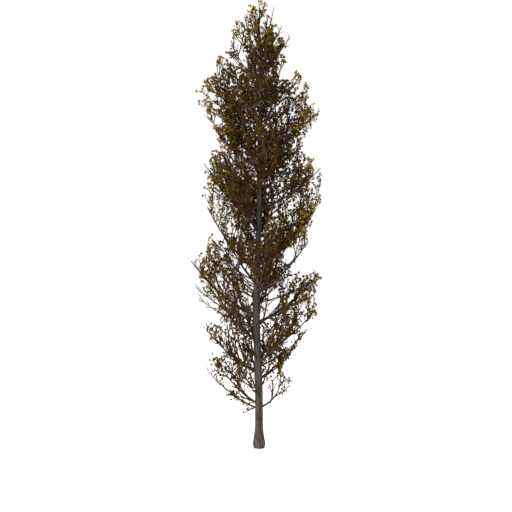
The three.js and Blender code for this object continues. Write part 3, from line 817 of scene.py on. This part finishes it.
# each with its height at the trunk, azimuth, reach and height of the tip
FILLING = [
    (1.75, 190, 1.5, 2.7),
    (2.0, 196, 0.6, 1.8),
    (2.0, 192, 0.9, 2.4),
    (2.2, 184, 1.8, 3.6),
    (2.4, 180, 0.6, 4.2),
    (2.6, 10, 0.5, 3.8),
    (2.9, 170, 0.35, 4.4),
    (3.0, 205, 0.4, 4.5),
    (3.0, 188, 0.7, 4.2),
    (3.1, 196, 0.6, 4.6),
    (3.2, 172, 0.8, 4.5),
    (3.3, 178, 0.45, 4.7),
    (3.5, 160, 0.75, 5.2),
    (3.6, 185, 0.35, 5.0),
    (3.7, 200, 0.55, 5.0),
    (3.9, 182, 0.7, 5.3),
    (4.0, 12, 0.9, 5.6),
    (4.6, 5, 1.5, 7.0),
    (5.2, 6, 1.4, 7.9),
    (5.4, 358, 1.75, 7.7),
    (6.6, 186, 2.0, 8.7),
    (6.8, 181, 2.1, 8.6),
    (6.9, 184, 1.9, 9.0),
    (7.1, 176, 1.6, 8.6),
    (7.6, 2, 1.6, 9.4),
    (8.4, 354, 2.1, 10.2),
    (9.0, 184, 1.3, 10.9),
    (10.1, 180, 2.1, 12.1),
    (10.4, 188, 2.2, 11.6),
    (11.2, 5, 1.4, 13.6),
    (11.9, 340, 1.6, 13.2),
    (12.1, 352, 1.9, 13.7),
    (12.3, 338, 1.3, 13.4),
    (12.4, 325, 1.5, 13.5),
    (12.3, 8, 1.6, 14.2),
    (13.2, 182, 2.5, 14.9),
    (14.0, 182, 2.6, 15.3),
    (14.2, 0, 2.3, 16.2),
    (14.4, 186, 2.7, 15.9),
    (15.3, 180, 1.3, 17.0),
    (15.5, 190, 1.9, 17.2),
    (16.8, 184, 1.25, 18.3),
    (17.3, 196, 0.75, 19.3),
    (17.6, 176, 0.45, 19.5),
    (6.95, 0, 1.5, 7.75),
    (5.6, 4, 2.6, 7.4),
    (11.0, 356, 1.5, 13.0),
    (2.6, 186, 1.9, 4.0),
    (1.85, 172, 0.7, 1.5),
]
BARE_ENDS = [
    (1.75, 188, 2.3, 3.5),
    (3.1, 4, 1.8, 4.9),
    (3.6, 8, 2.3, 5.3),
    (5.3, 179, 2.6, 6.7),
    (5.6, 182, 2.75, 7.2),
    (7.2, 4, 2.3, 9.15),
    (16.9, 352, 1.35, 18.3),
    (17.0, 186, 1.15, 19.0),
    (17.3, 0, 1.0, 18.9),
    (17.6, 350, 0.65, 19.7),
]
BARE_FROM = FILLING_FROM + len(FILLING)
print("small boughs set by hand", len(FILLING), "and", len(BARE_ENDS), "with bare ends")

# %% The small boughs and the risers


def lesser_boughs():
    """Small boughs round the trunk by the golden angle, one every so much, that bend as the limbs do, and
    after them those of FILLING and BARE_ENDS. Those that hide a limb are left out, and so are those that
    cross a sky gap, except the ones with bare ends."""
    k = np.arange(int((LESSER_TO - LESSER_FROM) / LESSER_EVERY))
    height = LESSER_FROM + LESSER_EVERY * (k + LESSER_SCATTER * chance(k, 51))
    turn = GOLDEN_ANGLE * k + LESSER_SWING * chance(k, 54)
    below_top = 0.2 + 0.6 * (TREE_HEIGHT - height)  # the most that one rises near the top
    rise = np.minimum(lerp(*LESSER_RISE, chance(k, 52)), below_top)
    left, right, deep = crown_reach(height + rise)
    wide = np.where(np.cos(turn) < 0, left, right)
    whole = 1 / np.sqrt((np.cos(turn) / wide) ** 2 + (np.sin(turn) / deep) ** 2)
    reach = lerp(*LESSER_REACH, chance(k, 53)) * whole
    more_height, more_azimuth, more_reach, more_top = np.array(FILLING + BARE_ENDS, float).T
    k = np.append(k, FILLING_FROM + np.arange(len(more_height)))
    height = np.append(height, more_height)
    turn = np.append(turn, np.radians(more_azimuth))
    rise = np.append(rise, more_top - more_height)
    reach = np.append(reach, more_reach)[:, None]
    way = level(turn)
    foot = trunk_axis(height)
    bend = foot + way * LIMB_OUT * reach + UP * LIMB_UP * rise[:, None]
    tip = foot + way * reach + UP * rise[:, None]
    radius = np.minimum(LESSER_RADIUS, LESSER_SHARE * trunk_radius(height))
    made = Curves(k + LESSER_KEY, foot, bend, tip, radius)
    bare = k >= BARE_FROM
    return made.pick(~hides_limb(made) & (~in_sky_gap(made) | bare))


lesser = lesser_boughs()
risers, _ = offshoots(limbs.with_keys(limbs.key * 101), RISERS)
risers = risers.pick(~in_sky_gap(risers)).joined(lesser)
print("risers", len(risers.key), "of them small boughs", len(lesser.key))

# %% [markdown]
# ## Shoots, twigs and twiglets
#
# Three more rounds of the rule, each on the one before: shoots on the limbs and the risers, twigs on the
# shoots, and twiglets on the twigs. Low down they turn up less, and the twiglets stand further apart, so
# that more sky shows there. The ends that stick out get bare shoots and twigs of their own, which are let
# past the crown's outline.

# %% The shoots
SHOOT_HEIGHTS = [1.85, 1.95, 4.0, 5.0, 8.0, 9.0, 16.5, 18.0]
SHOOT_SPACING = [0.25, 0.18, 0.19, 0.28, 0.28, 0.22, 0.24, 0.5]
carriers = limbs.with_keys(limbs.key * 103).joined(risers)
SHOOTS = Habit(
    spacing=np.interp(carriers.foot[:, 2], SHOOT_HEIGHTS, SHOOT_SPACING),
    first=0.12,
    last=0.98,
    spread=35,
    upturn=np.interp(carriers.foot[:, 2], [5.0, 8.0], [0.3, 1.0]),
    wish=0.8,
    least=0.12,
    slimness=0.65,
    lift=0.1,
)
shoots, _ = offshoots(carriers, SHOOTS)
print("shoots", len(shoots.key))

# %% The twigs and the twiglets
TWIGS = Habit(
    spacing=0.19,
    first=0.2,
    last=0.96,
    spread=36,
    upturn=np.interp(shoots.foot[:, 2], [4.0, 8.0], [0.25, 0.6]),
    wish=0.42,
    least=0.07,
    slimness=0.75,
    lift=0.1,
)
twigs, twig_shoot = offshoots(shoots, TWIGS)
TWIGLETS = Habit(
    spacing=np.interp(twigs.foot[:, 2], [4.5, 8.5], [0.18, 0.12]),
    first=0.2,
    last=0.96,
    spread=42,
    upturn=0.4,
    wish=0.17,
    least=0.05,
    slimness=0.8,
    lift=0,
)
twiglets, twiglet_twig = offshoots(twigs, TWIGLETS)
print("twigs", len(twigs.key), "twiglets", len(twiglets.key))

# %% The bare shoots and their twigs
BARE_SHOOTS = Habit(
    spacing=0.16,
    first=0.62,
    last=0.97,
    spread=34,
    upturn=0.3,
    wish=0.6,
    least=0.1,
    slimness=0.6,
    tip_loss=0.6,
    lift=0,
    limit=1.25,
)
BARE_TWIGS = Habit(
    spacing=0.12,
    first=0.3,
    last=0.9,
    spread=36,
    upturn=0.3,
    wish=0.25,
    least=0.04,
    slimness=0.7,
    limit=1.3,
)
bare_shoots, _ = offshoots(lesser.pick(lesser.key >= LESSER_KEY + BARE_FROM), BARE_SHOOTS)
bare_twigs, _ = offshoots(bare_shoots, BARE_TWIGS)
print("bare shoots", len(bare_shoots.key), "and their twigs", len(bare_twigs.key))

# %% The twigs' meshes
STOUT_HEIGHTS = [4.5, 8.5]  # the lower twigs are older and stouter
STOUT_GAIN = [1.2, 1.0]
HIGH = 10.5  # the twiglets are two pieces, below and above this height, so that neither is too large


def twig_mesh(name, curves, sides, rings, tip_radius, least_radius):
    """Tubes that thin evenly from their foot's radius, or the least one, and close in a point."""
    t = np.linspace(0, 1, rings + 1)
    stout = np.interp(curves.foot[:, 2], STOUT_HEIGHTS, STOUT_GAIN)[:, None]
    foot_radius = np.maximum(curves.radius, least_radius)[:, None]
    thin = stout * lerp(foot_radius, tip_radius, t[:-1])
    thin = np.repeat(thin[..., None], sides, axis=2)
    across = level(2 * np.pi * chance(curves.key, 4), 0.3)
    corners, faces = tubes(curves.points(t), curves.directions(t), thin, across)
    return mesh_piece(name, corners, faces, twig_bark, foliage_nodes)


# sides, rings, the radius at the tip and the least one at the foot
twig_mesh("risers", risers, 7, 12, 0.013, 0.026)
twig_mesh("shoots", shoots, 4, 4, 0.010, 0.018)
twig_mesh("bare_shoots", bare_shoots.joined(bare_twigs), 3, 4, 0.007, 0.012)
twig_mesh("twigs", twigs, 3, 3, 0.006, 0.011)
high = twiglets.foot[:, 2] > HIGH
twig_mesh("twiglets_low", twiglets.pick(~high), 3, 2, 0.003, 0.006)
twig_mesh("twiglets_high", twiglets.pick(high), 3, 2, 0.003, 0.006)

# %% [markdown]
# ## Leaves
#
# A poplar leaf is nearly a triangle with a rounded base, folded a little along its middle. A picture of a
# leaf on a square with clear edges is the usual way to make one, but a real outline stays sharp and casts
# a true shadow, and one four-sided face on each side of the fold is enough for it. Leaves on one spray
# turn colour together, so the tints are dealt out by twig, and each tint's leaves are one piece.

# %% The leaf's outline and places
LEAF_LENGTH = 0.074
LEAF_SIZES = (0.75, 1.25)  # the smallest and the largest, of that length
LEAF_HALF_WIDTH = 0.46  # of its length
LEAF_SIDES = ((0.22, 0.9), (0.6, 0.8))  # a side's two corners: along the leaf, and out, of the half width
LEAF_FOLD = 0.16  # how far the edges rise over the middle, of its half width
LEAF_UP = UP + 0.01  # the reference for what is square to a leaf
LEAF_OUT = 0.7  # how strongly a leaf points away from its twig, and along it
LEAF_ALONG = 0.3
LEAF_HANG = (-0.3, 1.6)  # how strongly it turns down, from the least to the most
LEAVES = 5  # towards the end of each twig and twiglet
TWIG_LEAVES_FROM = 0.95  # the share of a twig at which its leaves begin, and of a twiglet
TWIGLET_LEAVES_FROM = 0.9


def leaf_places(curves, count, first, last):
    """Feet, directions and keys of the leaves on each curve between two shares of it, turned round it by
    the golden angle, and the number of each one's curve."""
    own = np.repeat(np.arange(len(curves.key)), count)
    k = np.tile(np.arange(count), len(curves.key))
    on = curves.pick(own)
    t = first + (last - first) * (k + 0.7) / count
    foot, tangent = on.at(t)
    key = (on.key * 17 + 3 * k + 5) % KEY_LIMIT
    turn = (GOLDEN_ANGLE * k + 2 * np.pi * chance(on.key, 5))[:, None]
    around = square_to(tangent, turn, LEAF_UP)
    hang = lerp(*LEAF_HANG, chance(key, 6))[:, None]
    return foot, unit(LEAF_OUT * around + LEAF_ALONG * tangent - hang * UP), key, own


def leaf_mesh(name, foot, heading, key, material):
    """Six corners a leaf: foot, two on each side and the tip, with the sides raised by the fold."""
    size = (LEAF_LENGTH * lerp(*LEAF_SIZES, chance(key, 8)))[:, None]
    turn = -2 * np.pi * chance(key, 9)[:, None]
    across = unit(square_to(heading, turn, LEAF_UP))
    up = np.cross(across, heading)
    wide = across * LEAF_HALF_WIDTH * size
    fold = up * LEAF_HALF_WIDTH * size * LEAF_FOLD
    (near, near_out), (far, far_out) = LEAF_SIDES
    corners = np.stack(
        [
            foot,
            foot + heading * near * size + near_out * (wide + fold),
            foot + heading * far * size + far_out * (wide + fold),
            foot + heading * size,
            foot + heading * far * size + far_out * (fold - wide),
            foot + heading * near * size + near_out * (fold - wide),
        ],
        axis=1,
    )
    base = (np.arange(len(foot)) * 6)[:, None]
    left = base + np.array([0, 3, 2, 1])
    right = base + np.array([0, 5, 4, 3])
    faces = [np.vstack([left, right])]
    return mesh_piece(name, corners.reshape(-1, 3), faces, material, foliage_nodes, smooth=False)


# %% [markdown]
# ## Tints and bare twigs
#
# In late autumn the inside of the crown is brown and half bare, and the last gold hangs at the sides and at
# the top. The tints' places are partly that real gold and partly painted light and shade: the lighter tints
# go to the left and right sides and the top, where the crown is lit, and the darker ones inside, where it
# is in shade. Each tint is a plain colour. Every twig gets a number from its place and from chance, the
# twigs are put in order by it, and the tints are dealt along that order by their shares.

# %% The tints
TINTS = {  # each with its colour and its share of the sprays, from the darkest, dealt as painted shade inside, to the lightest, dealt as painted light at the sides and top
    "dark_brown": ((0.073, 0.041, 0.008), 0.30),
    "brown_olive": ((0.110, 0.069, 0.009), 0.36),
    "olive": ((0.155, 0.103, 0.011), 0.20),
    "rust": ((0.180, 0.084, 0.010), 0.04),
    "golden": ((0.325, 0.200, 0.013), 0.10),
}
print("tints", {name: share for name, (_, share) in TINTS.items()})


def make_leaf_material(name, colour):
    """A plain base colour, with a soft mottle in the surface."""
    material, tree, shader = new_material("leaf_" + name, 0.75, 0.03)
    shader.inputs["Base Color"].default_value = (*colour, 1)
    mottle = noise_node(tree, 90.0, 2)
    add_bump(tree, shader, mottle.outputs["Fac"], 0.002, 0.5)
    return material


# %% Which twigs are in leaf, and how light their tint is, partly as painted light
LEAFY_ABOVE = 8.5  # the height above which the crown is in full leaf, and how far the change reaches down
LEAFY_BLEND = 4.0
LEAFY_HIGH = 0.42  # how likely a twig up there is in leaf at the trunk, and what the outline adds
LEAFY_HIGH_GAIN = 0.33
LEAFY_LOW = 0.3  # the same low down, where the gain comes from LEAFY_EDGE on, over LEAFY_EDGE_WIDTH
LEAFY_LOW_GAIN = 0.35
LEAFY_EDGE = 0.55
LEAFY_EDGE_WIDTH = 0.35
SHED_TOGETHER = 0.45  # how much a shoot's twigs lose their leaves together, and how much one by one
SHED_ALONE = 0.55
SIDES_FROM = 0.5  # the share of the crown's reach to the left or right from which the tints get lighter, as painted light
SIDES_LOW = 2.5  # they get fully lighter SIDES_BLEND above this height, and by SIDES_LEAST low down
SIDES_BLEND = 8
SIDES_LEAST = 0.5
TOP_PAINTED_LIGHT = 0.8  # the least painted light at the top, reached TOP_BLEND above TOP_FROM
TOP_FROM = 17.5
TOP_BLEND = 1.5


def leafing(point):
    """How likely a twig is to be in leaf still: high up a share plus a gain times its outerness, and low
    down a share plus a gain that comes in near the crown's edge."""
    outer = outerness(point)
    low = np.clip((LEAFY_ABOVE - point[:, 2]) / LEAFY_BLEND, 0, 1)
    high_share = np.clip(LEAFY_HIGH + LEAFY_HIGH_GAIN * outer, 0, 1)
    low_share = LEAFY_LOW + LEAFY_LOW_GAIN * np.clip((outer - LEAFY_EDGE) / LEAFY_EDGE_WIDTH, 0, 1)
    return lerp(high_share, low_share, low)


def painted_light(point):
    """How light a twig's tint is, from 0 to 1, as painted light with some real autumn gold. At the sides,
    to the left and right, it is the share of the way from half the crown's reach to its edge, less low
    down, and at the top it is at least the share set for the top."""
    left, right, _ = crown_reach(point[:, 2])
    sideways = np.abs(point[:, 0]) / np.where(point[:, 0] < 0, left, right)
    by_height = np.clip((point[:, 2] - SIDES_LOW) / SIDES_BLEND, SIDES_LEAST, 1)
    at_sides = np.clip((sideways - SIDES_FROM) / (1 - SIDES_FROM), 0, 1) * by_height
    at_top = TOP_PAINTED_LIGHT * np.clip((point[:, 2] - TOP_FROM) / TOP_BLEND, 0, 1)
    return np.maximum(at_sides, at_top)


shed = SHED_TOGETHER * chance(shoots.key[twig_shoot], 41) + SHED_ALONE * chance(twigs.key, 42)
in_leaf = shed < leafing(twigs.tip)
leafy_twigs = np.flatnonzero(in_leaf)
leafy_twiglets = np.flatnonzero(in_leaf[twiglet_twig])
print("twigs in leaf", len(leafy_twigs), "twiglets in leaf", len(leafy_twiglets))

# %% The leaves
TINT_BY_CHANCE = 0.4  # how much of a spray's place in the order is by chance, and how much by its painted light
TINT_BY_PAINTED_LIGHT = 0.6
ends = [
    leaf_places(twiglets.pick(leafy_twiglets), LEAVES, TWIGLET_LEAVES_FROM, 1.0),
    leaf_places(twigs.pick(leafy_twigs), LEAVES, TWIG_LEAVES_FROM, 1.0),
]
foot, heading, leaf_key = (np.concatenate(parts) for parts in list(zip(*ends))[:3])
spray = np.concatenate([twiglet_twig[leafy_twiglets[ends[0][3]]], leafy_twigs[ends[1][3]]])
# painted light and shade: sprays at the left and right sides and at the top get the lighter tints, those
# inside the darker
chance_and_painted_light = (TINT_BY_CHANCE * chance(twigs.key, 31) + TINT_BY_PAINTED_LIGHT * painted_light(twigs.tip))[spray]
place_in_order = np.argsort(np.argsort(chance_and_painted_light)) / len(spray)
edges = np.cumsum([share for _, share in TINTS.values()])
tint = np.minimum(np.searchsorted(edges, place_in_order), len(TINTS) - 1)
for number, (name, (colour, _)) in enumerate(TINTS.items()):
    which = tint == number
    leaf_material = make_leaf_material(name, colour)
    leaf_mesh("leaves_" + name, foot[which], heading[which], leaf_key[which], leaf_material)
print("leaves", len(foot))

# %% [markdown]
# ## Floor, light and camera
#
# A pale floor and one large soft light from the upper left and the front, with a pale surround, show the
# form as a studio would. The floor gives off some light of its own, so that it stays white under the
# tree's shadow. The camera stands far off and level, as one would to get a whole tree in without leaning.

# %% The floor
FLOOR_RADIUS = 90.0
FLOOR_SIDES = 96
FLOOR_DROP = 0.002  # how far it lies below the trunk's flat foot
floor_mesh = bpy.data.meshes.new("floor")
floor_turns = np.arange(FLOOR_SIDES) * 2 * np.pi / FLOOR_SIDES
floor_points = FLOOR_RADIUS * level(floor_turns, -FLOOR_DROP / FLOOR_RADIUS)
floor_mesh.from_pydata(floor_points.tolist(), [], [list(range(FLOOR_SIDES))])
floor = bpy.data.objects.new("floor", floor_mesh)
bpy.context.scene.collection.objects.link(floor)
floor_material, _, floor_shader = new_material("pale_floor", 1.0, 0.0)
floor_shader.inputs["Base Color"].default_value = (0.5, 0.5, 0.5, 1)
floor_shader.inputs["Emission Color"].default_value = (1, 1, 1, 1)
floor_shader.inputs["Emission Strength"].default_value = 0.9
floor_mesh.materials.append(floor_material)
print("floor", 2 * FLOOR_RADIUS, "m across")

# %% The surround and the lamp
AMBIENT = 0.38  # the surround's strength on the tree; the camera sees it white
SUN_STRENGTH = 3.35
SUN_SPREAD = 20  # degrees across, for soft shadows
SUN_TILT = 46  # degrees from straight down
SUN_TURN = -58  # degrees from the front, towards the left
world = bpy.data.worlds.new("studio")
bpy.context.scene.world = world
world.use_nodes = True
surround = world.node_tree.nodes["Background"]
path = world.node_tree.nodes.new("ShaderNodeLightPath")
strength = world.node_tree.nodes.new("ShaderNodeMapRange")
strength.inputs["To Min"].default_value = AMBIENT
strength.inputs["To Max"].default_value = 1.0
world.node_tree.links.new(path.outputs["Is Camera Ray"], strength.inputs["Value"])
world.node_tree.links.new(strength.outputs["Result"], surround.inputs["Strength"])
surround.inputs["Color"].default_value = (1, 1, 1, 1)

lamp = bpy.data.lights.new("key", "SUN")
lamp.energy = SUN_STRENGTH
lamp.angle = np.radians(SUN_SPREAD)
lamp_object = bpy.data.objects.new("key", lamp)
lamp_object.rotation_euler = (np.radians(SUN_TILT), 0, np.radians(SUN_TURN))
bpy.context.scene.collection.objects.link(lamp_object)
print("lamp", SUN_STRENGTH, "strong, and the surround", AMBIENT)

# %% The camera
CAMERA_PLACE = (-0.134, -42.0, 8.55)
camera_data = bpy.data.cameras.new("camera")
camera_data.lens = 66.3
camera_data.sensor_width = 36.0
camera_data.clip_end = 500
camera = bpy.data.objects.new("camera", camera_data)
camera.location = CAMERA_PLACE
camera.rotation_euler = (np.pi / 2, 0, 0)
bpy.context.scene.collection.objects.link(camera)
bpy.context.scene.camera = camera
bpy.context.scene.view_settings.view_transform = "Standard"
print("camera", -CAMERA_PLACE[1], "m away and", CAMERA_PLACE[2], "m up")
